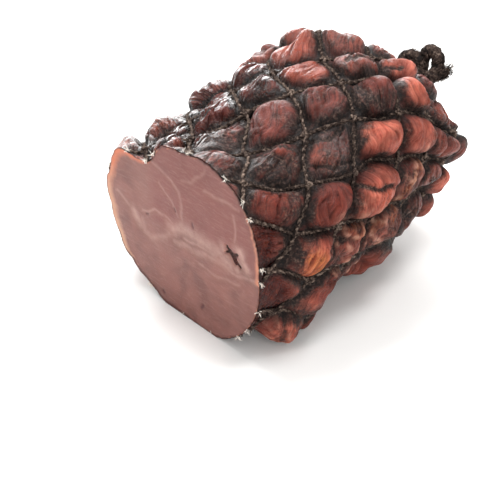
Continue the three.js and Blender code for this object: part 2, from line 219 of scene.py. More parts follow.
def sameCell(down, along):
    lap = np.floor(np.asarray(along) / net["along"])
    return np.asarray(down) - lap * net["down"], np.asarray(along) - lap * net["along"]


def localSwell(turn, reach):
    height = np.zeros(np.shape(turn))
    for swellTurn, swellReach, rise, wideRound, wideAlong in localSwells:
        apart = (turn - swellTurn + 180) % 360 - 180
        away = (apart * degreeMm / wideRound) ** 2 + ((reach - swellReach) / wideAlong) ** 2
        height = height + rise * np.exp(-away ** 1.5)
    return height


def skinPoint(turn, reach, height):
    t = lookUp(reach, tableReach, tableT)
    angle = np.radians(turn)
    height = (np.asarray(height) + localSwell(turn, reach))[..., None]
    return bodyPoint(angle, t) + bodyNormal(angle, t) * height + packShift


# Pockets of meat between the strings, by their place in the net (count down, count along):
# swell in mm, depth of the valley round it, share of orange-red meat, lie of the fibres in degrees,
# share of grey smoke, of black crust and of gloss, and how deep its folds are
pockets = {
    (-1, 1): (4.0, 1.25, 0.95, 80, 0.05, 0.0, 0.25, 1.0),
    (0, 1): (1.5, 1.15, 0.9, 85, 0.05, 0.0, 0.3, 1.0),
    (0, 0): (2.5, 1.15, 0.05, 75, 0.0, 0.15, 0.25, 1.0),
    (-1, 0): (-2.0, 0.5, 0.0, 35, 1.0, 0.45, 0.45, 1.6),
    (-1, -1): (0.0, 0.6, 0.15, 20, 0.05, 0.5, 0.4, 1.0),
    (0, -1): (0.5, 0.9, 0.05, 60, 0.0, 0.7, 0.3, 1.0),
    (1, 0): (0.0, 0.9, 0.0, 60, 0.0, 0.6, 0.3, 1.0),
    (-2, -1): (0.5, 0.8, 0.0, 25, 0.2, 0.2, 0.35, 1.3),
    (-2, 0): (0.5, 0.6, 0.0, 20, 0.15, 0.6, 0.35, 1.4),
    (-2, 1): (1.5, 0.9, 0.0, 60, 0.2, 0.7, 0.5, 1.0),
    (-1, -2): (-1.5, 0.6, 0.0, 20, 0.1, 0.6, 0.3, 1.0),
    (-2, -2): (0.0, 0.5, 0.15, 6, 0.1, 0.35, 0.3, 1.6),
    (-3, -3): (-1.0, 0.45, 0.0, 4, 0.0, 0.4, 1.0, 2.0),
    (-3, -2): (0.0, 0.35, 0.0, 4, 0.0, 0.4, 1.0, 2.0),
    (-4, -2): (0.0, 0.35, 0.0, 8, 0.1, 0.4, 1.0, 2.0),
    (-3, -1): (0.0, 0.4, 0.0, 6, 0.1, 0.45, 0.9, 1.8),
    (-4, -1): (1.0, 0.45, 0.1, 8, 0.0, 0.3, 1.0, 1.8),
    (-1, 2): (1.0, 1.0, 0.5, 80, 0.1, 0.05, 0.2, 1.0),
    (-2, 2): (1.0, 1.0, 0.85, 80, 0.0, 0.0, 0.3, 1.0),
    (-3, 0): (2.0, 0.55, 0.6, 6, 0.1, 0.0, 0.6, 1.5),
    (-4, 0): (1.0, 0.8, 0.6, 10, 0.2, 0.0, 0.6, 1.3),
    (-3, 1): (0.5, 0.9, 0.25, 40, 0.15, 0.2, 0.5, 1.0),
    (-3, 2): (0.5, 1.0, 0.75, 60, 0.1, 0.0, 0.3, 1.0),
    (0, 2): (-1.0, 1.0, 0.05, 70, 0.5, 0.2, 0.2, 1.0),
    (1, 1): (-1.0, 0.8, 0.25, 40, 0.2, 0.35, 0.2, 1.0),
    (1, 2): (0.0, 0.9, 0.2, 40, 0.25, 0.3, 0.2, 1.0),
    (-5, 0): (0.5, 0.8, 0.4, 10, 0.1, 0.0, 0.5, 1.0),
    (-4, 1): (0.0, 0.6, 0.2, 20, 0.35, 0.2, 0.4, 1.4),
    (2, 1): (-1.0, 0.9, 0.1, 45, 0.0, 0.65, 0.5, 1.0),
    (2, 2): (0.0, 0.9, 0.15, 45, 0.1, 0.45, 0.3, 1.0),
    (3, 2): (0.0, 0.9, 0.2, 45, 0.1, 0.4, 0.3, 1.0),
    (2, 3): (0.0, 0.9, 0.3, 45, 0.1, 0.25, 0.3, 1.0),
    (0, 4): (1.0, 1.0, 0.9, 80, 0.0, 0.0, 0.2, 1.0),
    (2, 0): (0.0, 0.7, 0.5, 60, 0.0, 0.5, 0.5, 1.0),
    (3, 1): (0.0, 0.9, 0.6, 60, 0.0, 0.45, 0.4, 1.0),
}
# What the other pockets have, in the same order, and how far they may stray from it
plainPocket = {
    "swell": (0.0, 1.5), "depth": (0.9, 0.35), "ember": (0.15, 0.7), "lie": (45, 80),
    "soot": (0.2, 0.5), "burnt": (0.3, 0.5), "wet": (0.35, 0.4), "fold": (1.0, 0.8),
}


def pocketValues(cellDown, cellAlong, key):
    usual, spread = plainPocket[key]
    column = list(plainPocket).index(key)
    values = usual + spread * (chance(cellDown, cellAlong, 2 + column) - 0.5)
    for (down, along), looks in pockets.items():
        homeDown, homeAlong = sameCell(down, along)
        here = (cellDown == homeDown) & (cellAlong == homeAlong)
        values = np.where(here, looks[column], values)
    return values


def blended(down, along, key):
    # a pocket value that runs evenly into the pockets next to it
    firstDown, firstAlong = np.floor(down - 0.5), np.floor(along - 0.5)
    partDown, partAlong = ease(0, 1, down - 0.5 - firstDown), ease(0, 1, along - 0.5 - firstAlong)
    values = 0
    for stepDown, weightDown in ((0, 1 - partDown), (1, partDown)):
        for stepAlong, weightAlong in ((0, 1 - partAlong), (1, partAlong)):
            cell = sameCell(firstDown + stepDown, firstAlong + stepAlong)
            values = values + weightDown * weightAlong * pocketValues(*cell, key)
    return values


# Creases that the net doesn't make, also painted dark as shade: route of (turn, reach), depth and half width
# in mm
creases = [
    ([(108, 4), (98, 4), (105, 25), (111, 44), (104, 58), (96, 64)], 5.0, 3.0),
    ([(62, 112), (60, 130), (56, 143), (48, 157)], 2.5, 2.5),
    ([(72, 120), (66, 140), (58, 160)], 2.0, 2.5),
    ([(70, 35), (64, 48), (56, 54)], 1.4, 1.4),
    ([(125, 8), (128, 30), (124, 58)], 2.5, 2.0),
    ([(140, 15), (143, 45), (138, 70)], 2.5, 2.0),
    ([(116, 18), (118, 40), (116, 60)], 2.0, 1.6),
    ([(26, 74), (20, 84), (17, 96)], 3.0, 1.6),
    ([(48, 55), (40, 66), (36, 78)], 1.8, 1.4),
    ([(58, 60), (50, 72), (50, 84)], 1.8, 1.4),
    ([(66, 38), (58, 44), (54, 30)], 1.6, 1.3),
    ([(12, 44), (7, 57), (4, 66)], 4.0, 2.6),
]
# Patches of colour: route of (turn, reach), half width in mm, strength
patchesOf = {
    "gold": [
        ([(9, 33), (1, 32)], 7.5, 1.0),
        ([(13, 61), (3, 74), (359, 90)], 4.0, 0.25),
        ([(12, 130), (7, 122), (5, 112), (358, 104)], 4.0, 0.35),
    ],
    "crusty": [
        ([(14, 60), (3, 76), (358, 92)], 13.0, 1.0),
        ([(14, 130), (7, 120), (3, 108), (356, 98)], 8.0, 0.8),
        ([(350, 60), (340, 75)], 12.0, 0.8),
        ([(330, 30), (322, 22)], 14.0, 0.7),
    ],
    "ember": [
        ([(323, 22), (320, 30)], 8.0, 1.0),
        ([(350, 24), (342, 30)], 6.0, 0.6),
        ([(50, 60), (40, 66)], 5.0, 0.6),
        ([(12, 34), (4, 31)], 8.5, 0.9),
        ([(122, 2), (150, 3)], 7.0, 0.8),
    ],
}
surface = {
    "columns": 440, "rows": 218, "fill": 2.3, "roundness": 0.6, "corner": 2.4, "floorShare": 0.93,
    "warp": 3.8, "warpSize": 23.0,
    "fold": 2.1, "foldAcross": 7.5, "foldAlong": 42.0, "gather": 0.8,
    "wrinkle": 0.75, "wrinkleAcross": 3.4, "wrinkleAlong": 20.0,
    "lump": 2.8, "lumpSize": 18.0, "small": 0.9, "smallSize": 7.5,
    "pinch": 1.2, "pinchWide": 2.4, "pinchFade": 6.0, "pullFade": 15.0, "crumbDeep": 1.6,
    "faceFade": 18.0, "faceShare": 0.25, "poleFrom": 195.0, "poleTo": 235.0, "poleShare": 0.85,
    "wetFrom": 103.0, "wetTo": 185.0, "wetSoft": 25.0,
    "stripFrom": -72.0, "stripTo": 44.0, "stripReach": 21.0, "stripFlat": 0.85, "stripSink": 1.5,
}


def linear(code):
    parts = [int(code[k:k + 2], 16) / 255 for k in (1, 3, 5)]
    return tuple([c / 12.92 if c <= 0.04045 else ((c + 0.055) / 1.055) ** 2.4 for c in parts] + [1.0])


def noiseField(points, scales, seed=0.0):
    spots = points / np.asarray(scales, float) + seed
    return np.array([noise.noise(Vector(spot)) for spot in spots])


def ridgeField(points, scales, seed=0.0):
    return 1 - 2 * np.abs(noiseField(points, scales, seed))


def awayFromRoute(points, route):
    best = np.full(len(points), 1e9)
    route = np.asarray(route, float)
    for a, b in zip(route[:-1], route[1:]):
        run = b - a
        share = np.clip((points - a) @ run / (run @ run), 0, 1)
        best = np.minimum(best, np.linalg.norm(points - a - share[:, None] * run, axis=1))
    return best


def wobbleOf(points):
    return 1.6 * np.stack([noiseField(points, 8.0, seed) for seed in (51.1, 63.9)], -1)


def deselectAll():
    if bpy.context.object and bpy.context.object.mode != "OBJECT":
        bpy.ops.object.mode_set(mode="OBJECT")
    bpy.ops.object.select_all(action="DESELECT")


def readPoints(piece):
    flat = np.empty(len(piece.data.vertices) * 3)
    piece.data.vertices.foreach_get("co", flat)
    return flat.reshape(-1, 3)


def writePoints(piece, points):
    piece.data.vertices.foreach_set("co", np.asarray(points, float).ravel())
    piece.data.update()


def storeValues(piece, name, values):
    values = np.asarray(values, float)
    kind = "FLOAT_VECTOR" if values.ndim == 2 else "FLOAT"
    layer = piece.data.attributes.new(name, kind, "POINT")
    layer.data.foreach_set("vector" if values.ndim == 2 else "value", values.ravel())


def addGrid(name, columns, rows):
    deselectAll()
    bpy.ops.mesh.primitive_grid_add(x_subdivisions=columns, y_subdivisions=rows, size=2)
    piece = bpy.context.object
    piece.name = piece.data.name = name
    return piece, (readPoints(piece) + [1, 1, 0]) / 2


def editAll():
    bpy.ops.object.mode_set(mode="EDIT")
    bpy.ops.mesh.select_all(action="SELECT")


def selectOpenEdges():
    bpy.ops.mesh.select_all(action="DESELECT")
    others = ("extend", "use_wire", "use_multi_face", "use_non_contiguous", "use_verts")
    bpy.ops.mesh.select_non_manifold(**dict.fromkeys(others, False))


def closeSeams(piece, gap=1e-7):
    bpy.context.view_layer.objects.active = piece
    editAll()
    bpy.ops.mesh.remove_doubles(threshold=gap)
    bpy.ops.mesh.normals_make_consistent(inside=False)
    bpy.ops.object.mode_set(mode="OBJECT")
    bpy.ops.object.shade_smooth()


def netPull(points):
    # how far the net lies off its even mesh, round and along, in mm
    pulls = [noiseField(points, surface["warpSize"], seed) for seed in (21.3, 34.7)]
    return surface["warp"] * np.array(pulls)


def roundRadius(turn, reach):
    return sectionRadius(np.radians(turn)) * profile(lookUp(reach, tableReach, tableT), shape["widths"])


def meatRoughness(points):
    lumps = surface["lump"] * noiseField(points, surface["lumpSize"], 3.1)
    return lumps + surface["small"] * noiseField(points, surface["smallSize"], 9.4)


def endFade(reach):
    # the pockets flatten towards the cut and towards the gathered end
    near = mix(surface["faceShare"], 1, ease(0, surface["faceFade"], reach))
    return near * (1 - ease(surface["poleFrom"], surface["poleTo"], reach) * surface["poleShare"])


def stripShare(turn, reach):
    # the smooth strip of rind beside the cut face, on its right
    apart = (turn + 180) % 360 - 180
    sides = ease(surface["stripFrom"], surface["stripFrom"] + 25, apart)
    sides = sides * (1 - ease(surface["stripTo"] - 20, surface["stripTo"], apart))
    waved = reach + 5 * np.sin(apart * 0.13)
    return sides * (1 - ease(surface["stripReach"] * 0.5, surface["stripReach"], waved))


def valleyHeight(points, turn, reach, down, along):
    valley = -net["bulge"] * net["valley"] * blended(down, along, "depth")
    return (meatRoughness(points) * 0.6 + valley) * endFade(reach)


# Bark: the smoked outside of the ham
piece, uv = addGrid("ham_bark", surface["columns"], surface["rows"])
turn = uv[:, 0] * 360.0
reach = uv[:, 1] * lastReach
wrapped = np.mod(turn, 360.0)
wrapped[np.isclose(wrapped, 360.0)] = 0.0
flat = skinPoint(wrapped, reach, np.zeros(len(turn)))
radius = roundRadius(wrapped, reach)
pullRound, pullAlong = netPull(flat)
netTurn = wrapped + np.degrees(pullRound / radius)
netReach = reach + pullAlong * ease(0, surface["pullFade"], reach)
down, along = netCount(netTurn, netReach)
cellDown, cellAlong = sameCell(np.floor(down), np.floor(along))
shareDown, shareAlong = down - np.floor(down), along - np.floor(along)
edgeDown, edgeAlong = np.minimum(shareDown, 1 - shareDown), np.minimum(shareAlong, 1 - shareAlong)
size = mix(0.65, 1.2, chance(cellDown, cellAlong, 1))
corner = surface["corner"]
acrossShare = ((1 - 2 * edgeDown) ** corner + (1 - 2 * edgeAlong) ** corner) ** (1 / corner)
swell = (1 - np.clip(acrossShare / surface["floorShare"], 0, 1) ** surface["fill"]) ** surface["roundness"]
strip = stripShare(wrapped, reach)
rise = net["bulge"] * size * blended(down, along, "depth") + pocketValues(cellDown, cellAlong, "swell")

# Place inside the pocket, in mm, turned to the way its fibres lie
midTurn, midReach = netPlace(np.floor(down) + 0.5, np.floor(along) + 0.5)
lie = np.radians(pocketValues(cellDown, cellAlong, "lie"))
sideways = np.radians((netTurn - midTurn + 180) % 360 - 180) * radius
lengthways = netReach - midReach
fibreAlong = lengthways * np.cos(lie) + sideways * np.sin(lie)
fibreAcross = sideways * np.cos(lie) - lengthways * np.sin(lie)
bend = 0.02 * (chance(cellDown, cellAlong, 17) - 0.5)
fibreAcross = fibreAcross * (1 + surface["gather"] * (fibreAlong / 16) ** 2) + bend * fibreAlong ** 2
sway = noiseField(flat, 11.0, 41.2) * 5.0
pocketSeed = chance(cellDown, cellAlong, 18) * 60
fibre = np.stack([fibreAcross + sway, fibreAlong + 2 * sway, pocketSeed], -1)

folds = ridgeField(fibre, [surface["foldAcross"], surface["foldAlong"], 1.0])
wrinkles = ridgeField(fibre, [surface["wrinkleAcross"], surface["wrinkleAlong"], 1.0], 7.3)
foldDeep = ease(0.72, 1.0, folds)  # narrow furrows between rounded bundles of meat
wrinkleDeep = ease(0.7, 1.0, wrinkles)
strength = mix(0.6, 1.2, chance(cellDown, cellAlong, 19)) * pocketValues(cellDown, cellAlong, "fold")
place = np.stack([wrapped * degreeMm, reach], -1) + wobbleOf(flat)  # degrees round, as mm on the skin


def patchValues(kind):
    values = np.zeros(len(place))
    for route, wide, strongAt in patchesOf[kind]:
        turns = np.array([a for a, _ in route], float)
        turns = np.where(turns > 180, turns - 360, turns)
        route = np.stack([turns * degreeMm, [r for _, r in route]], -1)
        around = place - [[360 * degreeMm, 0.0]] * (wrapped > 180)[:, None]
        values = np.maximum(values, strongAt * np.exp(-(awayFromRoute(around, route) / wide) ** 4))
    return values


crusty = patchValues("crusty")
crumbs = noiseField(flat, 4.6, 71.3) + 0.6 * noiseField(flat, 2.4, 83.1)
furrows = swell ** 0.5 * (surface["fold"] * strength * foldDeep + surface["wrinkle"] * wrinkleDeep)
furrows = furrows - surface["crumbDeep"] * crusty * crumbs
stringNear = np.minimum(edgeDown, edgeAlong) * meshMm
pinch = np.exp(-(stringNear / surface["pinchWide"]) ** 2) * surface["pinch"]
height = valleyHeight(flat, wrapped, reach, down, along)
bulge = swell * (rise + meatRoughness(flat)) * (1 - surface["stripFlat"] * strip)
height = height + endFade(reach) * (bulge - furrows) - pinch * ease(0, surface["pinchFade"], reach)
height = height - surface["stripSink"] * strip * ease(0, 8, reach)

# Painted shade in the creases and furrows, char mixed with painted shade beside the strings, smoke, ember-red
# meat, gold and crumbs of fat, and wet skin, each from 0 to 1
smoking = {
    "patchSize": 9.0, "broadSize": 26.0, "sootSize": 14.0, "sootPatchy": 0.9,
    "edge": 1.15, "edgeWide": 6.0, "edgePatchy": 0.6, "edgeBurnt": 0.6,
    "burnt": 0.05, "burntBroad": 0.8, "burntPatchy": 0.4, "creaseShade": 1.3, "stripClean": 0.75,
    "emberPatchy": 0.8, "emberBroad": 0.5, "goldClean": 0.8, "crustClean": 0.35, "crumbClean": 0.5,
    "crumbShare": 0.85, "wetTo": (95, 150), "wetPatchy": 0.4, "stripWet": 0.9,
}
creaseShade = np.zeros(len(turn))
for route, deep, wide in creases:
    near = np.exp(-(awayFromRoute(place, [(a * degreeMm, r) for a, r in route]) / wide) ** 2)
    height = height - deep * near
    creaseShade = np.maximum(creaseShade, near)
patchy = noiseField(flat, smoking["patchSize"], 5.5)
broadPatchy = noiseField(flat, smoking["broadSize"], 12.5)
burnt = blended(down, along, "burnt")
# Painted shade in part: the black beside the strings is partly char and partly the shade of the valleys the
# strings lie in
stringSideCharAndShade = smoking["edge"] - stringNear / smoking["edgeWide"]  # black beside the strings
stringSideCharAndShade = stringSideCharAndShade + smoking["edgePatchy"] * patchy + smoking["edgeBurnt"] * burnt
broadChar = smoking["burnt"] + burnt + smoking["burntBroad"] * broadPatchy + smoking["burntPatchy"] * patchy
char = np.clip(np.maximum(stringSideCharAndShade, broadChar), 0, 1)
# Painted shade: the creases are painted black
char = np.maximum(char, np.clip(creaseShade * smoking["creaseShade"], 0, 1)) * (1 - smoking["stripClean"] * strip)
# Painted shade: the furrows between bundles of meat are painted dark where shade falls in them
furrowShadeMask = np.clip(0.75 * foldDeep * strength + 0.4 * wrinkleDeep - 0.8 * crusty * crumbs, 0, 1)
soot = blended(down, along, "soot")
sooty = smoking["sootPatchy"] * noiseField(flat, smoking["sootSize"], 8.2)
soot = np.clip(soot * (1 + sooty), 0, 1) * (1 - strip)
ember = pocketValues(cellDown, cellAlong, "ember") * ease(0.05, 0.8, swell)
ember = ember * (1 + smoking["emberPatchy"] * patchy + smoking["emberBroad"] * broadPatchy)
ember = np.clip(ember + patchValues("ember"), 0, 1) * (1 - strip)
goldPatch = patchValues("gold")
gold = np.clip(goldPatch * (0.75 + 1.2 * crusty * crumbs + 0.5 * patchy), 0, 1)
char = char * (1 - smoking["goldClean"] * goldPatch) * (1 - smoking["crustClean"] * crusty)
char = np.clip(char - smoking["crumbClean"] * crusty * crumbs, 0, 1)
crumb = smoking["crumbShare"] * crusty * ease(0.0, 0.7, crumbs)
upper = ease(surface["wetFrom"] - surface["wetSoft"], surface["wetFrom"], wrapped)
upper = upper * (1 - ease(surface["wetTo"], surface["wetTo"] + surface["wetSoft"], wrapped))
wet = np.maximum(upper * (1 - ease(*smoking["wetTo"], reach)), blended(down, along, "wet"))
wet = np.maximum(np.clip(wet + smoking["wetPatchy"] * patchy, 0, 1), strip * smoking["stripWet"])

points = skinPoint(wrapped, reach, height)
rim = np.isclose(uv[:, 1], 0)
planeNormal = np.array([-shape["leanSide"], 1.0, -shape["leanUp"]])
planeMiddle = np.array([0, 0, centreHeight]) + packShift
points[rim, 1] -= (points[rim] - planeMiddle) @ planeNormal
points[np.isclose(uv[:, 1], 1)] = skinPoint(np.array([0.0]), np.array([lastReach]), np.array([-2.0]))[0]
points[:, 2] = np.maximum(points[:, 2], 0.0)
rimPoints = points[rim]
writePoints(piece, points * mm)
# top is how high a point sits in its pocket; the rind uses it to paint shade in the valleys and light on the
# tops
barkValues = {
    "char": char, "soot": soot, "ember": ember, "gold": gold, "wet": wet, "strip": strip,
    "furrow": furrowShadeMask, "crumb": crumb, "top": ease(0.0, 0.95, swell), "fibre": fibre * mm,
}
for name, values in barkValues.items():
    storeValues(piece, name, values)
closeSeams(piece)
bark = piece
print("bark shaped:", len(bark.data.polygons), "faces")

# The bark's cut end is closed a little behind the cut, where the meat fills it
faceNormal = unit(planeNormal)
editAll()
selectOpenEdges()
bpy.ops.mesh.edge_face_add()
bpy.ops.mesh.inset(thickness=0.35 * mm, depth=0)
bpy.ops.transform.translate(value=tuple(faceNormal * 1.5 * mm))
bpy.ops.object.mode_set(mode="OBJECT")


# Cut face: cured pork, cut with a knife
cutFace = {
    "columns": 200, "rows": 176, "inset": 0.3, "thickness": 1.2, "taper": 0.9, "middle": (0.0, 58.0),
    "seams": [  # route across and up on the cut, half width in mm, strength
        ([(-27, 100), (-18, 98), (-8, 94), (-2, 90), (0, 81), (0, 74), (1, 69)], 1.3, 0.28),
        ([(-39, 54), (-37, 46), (-31, 43), (-19, 50), (-9, 57), (-1, 61)], 2.2, 0.3),
        ([(-10, 61), (-3, 64), (5, 66), (16, 65), (27, 65), (34, 64), (40, 60)], 5.0, 0.5),
        ([(-7, 53), (4, 54), (16, 55), (27, 57), (34, 58), (42, 58)], 2.2, 0.35),
        ([(2, 58), (14, 60), (26, 61), (36, 61)], 1.4, 0.4),
        ([(10, 60), (20, 60), (30, 60), (42, 56), (51, 57), (60, 59), (66, 59)], 1.6, 0.4),
        ([(46, 96), (47, 87), (47, 78)], 1.0, 0.3),
        ([(2, 99), (9, 101), (18, 109), (22, 114)], 1.2, 0.2),
        ([(21, 100), (33, 101), (50, 101)], 1.1, 0.25),
        ([(-20, 88), (-8, 80), (-3, 72)], 0.9, 0.25),
        ([(-62, 64), (-52, 58), (-44, 56)], 1.6, 0.3),
        ([(-38, 60), (-26, 66), (-14, 66), (-4, 64)], 1.0, 0.35),
        ([(14, 48), (26, 46), (38, 47), (50, 50)], 1.0, 0.25),
        ([(-47, 56), (-44, 52), (-42, 50)], 3.4, 0.55),
        ([(50, 73), (52, 68), (56, 65)], 4.0, 0.7),
        ([(36, 70), (41, 65), (48, 61)], 3.5, 0.5),
    ],
    "spots": [  # dark red marks, in the same way
        ([(10, 72.5), (10.4, 70.5)], 0.9, 1.0), ([(17.5, 18.5), (16, 15)], 1.4, 1.0),
        ([(-22, 9), (-21, 8)], 1.2, 1.0), ([(-6, 77), (-5, 75)], 0.6, 1.0),
        ([(-34, 60), (-32, 61)], 0.7, 1.0),
    ],
    "hollow": [([(39.5, 71.5), (42, 69)], 1.2, 1.0), ([(42, 69), (45, 66), (46, 64)], 1.7, 1.0),
               ([(42, 68.5), (39, 67.5)], 0.8, 1.0), ([(44, 67.5), (47.5, 69)], 0.8, 1.0),
               ([(46.5, 65), (50.5, 62.5)], 0.9, 1.0)],
    "hollowDepth": 3.6,
    "band": [(-60, 52), (-10, 60), (0, 65), (34, 67), (66, 60)],  # the seam below the upper muscle
}


def strongest(marks):
    best = np.zeros(len(drawn))
    for route, wide, strongAt in marks:
        best = np.maximum(best, np.exp(-(awayFromRoute(drawn, route) / wide) ** 2) * strongAt)
    return best


piece, uv = addGrid("ham_cut_face", cutFace["columns"], cutFace["rows"])
square = uv[:, :2] * 2 - 1
disc = square * np.sqrt(1 - square[:, ::-1] ** 2 / 2)
middle = np.array(cutFace["middle"])
rimFlat = rimPoints[:, [0, 2]] - middle
rimAngle = np.arctan2(rimFlat[:, 1], rimFlat[:, 0])
order = np.argsort(rimAngle)
rimAngle, rimRadius = rimAngle[order], np.linalg.norm(rimFlat, axis=1)[order]
discAngle = np.arctan2(disc[:, 1], disc[:, 0])
outline = np.interp(discAngle, rimAngle, rimRadius, period=2 * math.pi) - cutFace["inset"]
onFace = middle + disc * outline[:, None]
share = np.linalg.norm(disc, axis=1)
fromRim = outline * (1 - share)
wobble = np.stack([noiseField(np.c_[onFace, onFace[:, 0] * 0], 9, salt) for salt in (1.7, 6.1)], -1)
drawn = onFace + wobble * 1.6
pale, spot, hollow = (strongest(cutFace[kind]) for kind in ("seams", "spots", "hollow"))
sink = hollow * cutFace["hollowDepth"] + 0.35 * pale + 0.25 * spot
sink = sink + 0.5 * noiseField(np.c_[onFace, onFace[:, 0] * 0], 22, 4.4) * ease(0, 6, fromRim)
sink = sink * ease(0, 1.5, fromRim)
flatY = planeMiddle[1] - (onFace - planeMiddle[[0, 2]]) @ planeNormal[[0, 2]]
points = np.stack([onFace[:, 0], flatY, onFace[:, 1]], -1) + faceNormal * sink[:, None]
writePoints(piece, points * mm)
aboveBand = drawn[:, 1] - np.interp(drawn[:, 0], *zip(*cutFace["band"]))
faceValues = {
    "pale": pale, "spot": spot, "hollow": hollow, "rim": fromRim, "rimTurn": np.degrees(discAngle) % 360,
    "upper": ease(-3, 6, aboveBand) * ease(-34, -22, drawn[:, 0]),
}
for name, values in faceValues.items():
    storeValues(piece, name, values)
editAll()
bpy.ops.mesh.flip_normals()
selectOpenEdges()
thick = cutFace["thickness"] + cutFace["hollowDepth"]
bpy.ops.mesh.extrude_region_move(TRANSFORM_OT_translate={"value": tuple(faceNormal * thick * mm)})
middlePoint = (planeMiddle + [0, thick, 0]) * mm
bpy.ops.transform.resize(value=(cutFace["taper"], 1, cutFace["taper"]), center_override=tuple(middlePoint))
bpy.ops.mesh.edge_face_add()
bpy.ops.object.mode_set(mode="OBJECT")
closeSeams(piece)
cutMeat = piece
print("cut face shaped:", len(cutMeat.data.polygons), "faces")


# Strings: two plies of cotton twine twisted together, lying in the valleys
twine = {"step": 1.2, "pitch": 6.4, "sides": 6, "plyRadius": 0.68, "plyOffset": 0.54, "rough": 0.7,
         "lift": 0.4, "liftWaver": 0.9, "over": 0.8, "wander": 0.9,
         "lastReach": 232.0, "pastEnd": 8.0, "fromFace": 0.6, "crossing": 0.09}


def pulledPlace(down, along):
    # where a string runs once the net is pulled off its even mesh
    evenTurn, evenReach = netPlace(down, along)
    turn, reach = evenTurn, evenReach
    for _ in range(4):
        pullRound, pullAlong = netPull(skinPoint(turn % 360, reach, np.zeros(len(turn))))
        turn = evenTurn - np.degrees(pullRound / roundRadius(turn, reach))
        reach = evenReach - pullAlong * ease(0, surface["pullFade"], reach)
    return turn, reach


def floorHeight(turn, reach, down, along):
    base = skinPoint(turn, reach, np.zeros(len(turn)))
    pinch = surface["pinch"] * ease(0, surface["pinchFade"], reach)
    return valleyHeight(base, turn, reach, down, along) - pinch


def evenPath(path, step):
    lengths = distances(path)
    spots = np.linspace(0, lengths[-1], max(3, int(round(lengths[-1] / step)) + 1))
    return np.stack([np.interp(spots, lengths, line) for line in path.T], -1)


def pathFrame(path, normals):
    run = unit(np.gradient(path, axis=0))
    side = unit(np.cross(run, normals))
    return side, np.cross(side, run)


tubes = []


def addTube(name, path, normals, radius, sides, tint):
    side, up = pathFrame(path, normals)
    piece, uv = addGrid(name, len(path) - 1, sides)
    k = np.rint(uv[:, 0] * (len(path) - 1)).astype(int)
    angle = uv[:, 1] * 2 * math.pi
    thick = np.broadcast_to(radius, len(path))[k] * np.where((k == 0) | (k == len(path) - 1), 0.0, 1.0)
    points = path[k] + (up[k] * np.cos(angle)[:, None] + side[k] * np.sin(angle)[:, None]) * thick[:, None]
    writePoints(piece, points * mm)
    storeValues(piece, "tint", np.full(len(points), tint))
    return piece


def addTwine(name, path, normals, offset, radius, seed, plies=2):
    side, up = pathFrame(path, normals)
    lengths = distances(path)
    made = []
    for ply in range(plies):
        angle = 2 * math.pi * (lengths / twine["pitch"] + ply / plies) + seed
        centre = path + offset * (up * np.cos(angle)[:, None] + side * np.sin(angle)[:, None])
        rough = 1 + twine["rough"] * np.clip(noiseField(centre, 2.6, seed + ply), -0.7, 0.9)
        made.append(addTube(name, centre, normals, radius * rough, twine["sides"], chance(seed, ply, 9)))
    return made


def joinPieces(name, made):
    deselectAll()
    for part in made:
        part.select_set(True)
    bpy.context.view_layer.objects.active = made[0]
    bpy.ops.object.join()
    joined = bpy.context.object
    joined.name = joined.data.name = name
    closeSeams(joined, 2e-8)
    return joined


gatherPoint = np.array([12.0, 204.0, 97.0]) + packShift
stringLines = [(None, a) for a in range(net["along"])] + [(d, None) for d in range(net["down"])]
stringPaths = []
for number, (fixedDown, fixedAlong) in enumerate(stringLines):
    count = np.arange(-26, 40, 0.04)
    if fixedDown is None:
        down, along = count, np.full(len(count), float(fixedAlong))
    else:
        down, along = np.full(len(count), float(fixedDown)), count
    evenReach = netPlace(down, along)[1]
    keep = (evenReach > -6) & (evenReach < twine["lastReach"] + twine["pastEnd"])
    down, along, count = down[keep], along[keep], count[keep]
    turn, reach = pulledPlace(down, along)
    keep = (reach > twine["fromFace"]) & (reach < twine["lastReach"])
    order = np.argsort(np.where(keep, reach, np.inf))[:int(keep.sum())]
    turn, reach, count, down, along = turn[order], reach[order], count[order], down[order], along[order]
    crossing = np.exp(-((count - np.round(count)) / twine["crossing"]) ** 2)
    overUnder = twine["over"] * crossing * (0.9 if fixedDown is None else -0.1)
    height = floorHeight(turn, reach, down, along) + twine["lift"] + overUnder
    height = height + twine["liftWaver"] * noiseField(skinPoint(turn, reach, height), 14.0, 91.7)
    path = skinPoint(turn, reach, height)
    normals = bodyNormal(np.radians(turn), lookUp(reach, tableReach, tableT))
    side = unit(np.cross(np.gradient(path, axis=0), normals))
    path = path + side * (twine["wander"] * noiseField(path, 13.0, number))[:, None]
    tail = np.linspace(0, 1, 24)[1:, None]
    sway = np.array([math.cos(number * 2.4), 0, math.sin(number * 2.4)]) * 3.0
    hump = np.array([0, 1.0, 0]) * np.sin(tail * math.pi) * 1.5
    end = path[-1] * (1 - tail) + (gatherPoint + sway) * tail + hump
    path = np.concatenate([path, end])
    normals = np.concatenate([normals, np.repeat([[0.0, 1.0, 0.0]], len(end), 0)])
    both = evenPath(np.concatenate([path, normals], 1), twine["step"])
    path, normals = both[:, :3], both[:, 3:]
    smooth = np.pad(path, ((2, 2), (0, 0)), mode="edge")
    path[2:-2] = (smooth[1:-3] + smooth[2:-2] * 2 + smooth[3:-1])[2:-2] / 4
    path[:, 2] = np.maximum(path[:, 2], twine["plyRadius"] * (1 + twine["rough"]) + twine["plyOffset"])
    stringPaths.append((path, normals))
    tubes += addTwine("string", path, normals, twine["plyOffset"], twine["plyRadius"], number)
strings = joinPieces("net_strings", tubes)
print("strings laid:", len(strings.data.polygons), "faces")

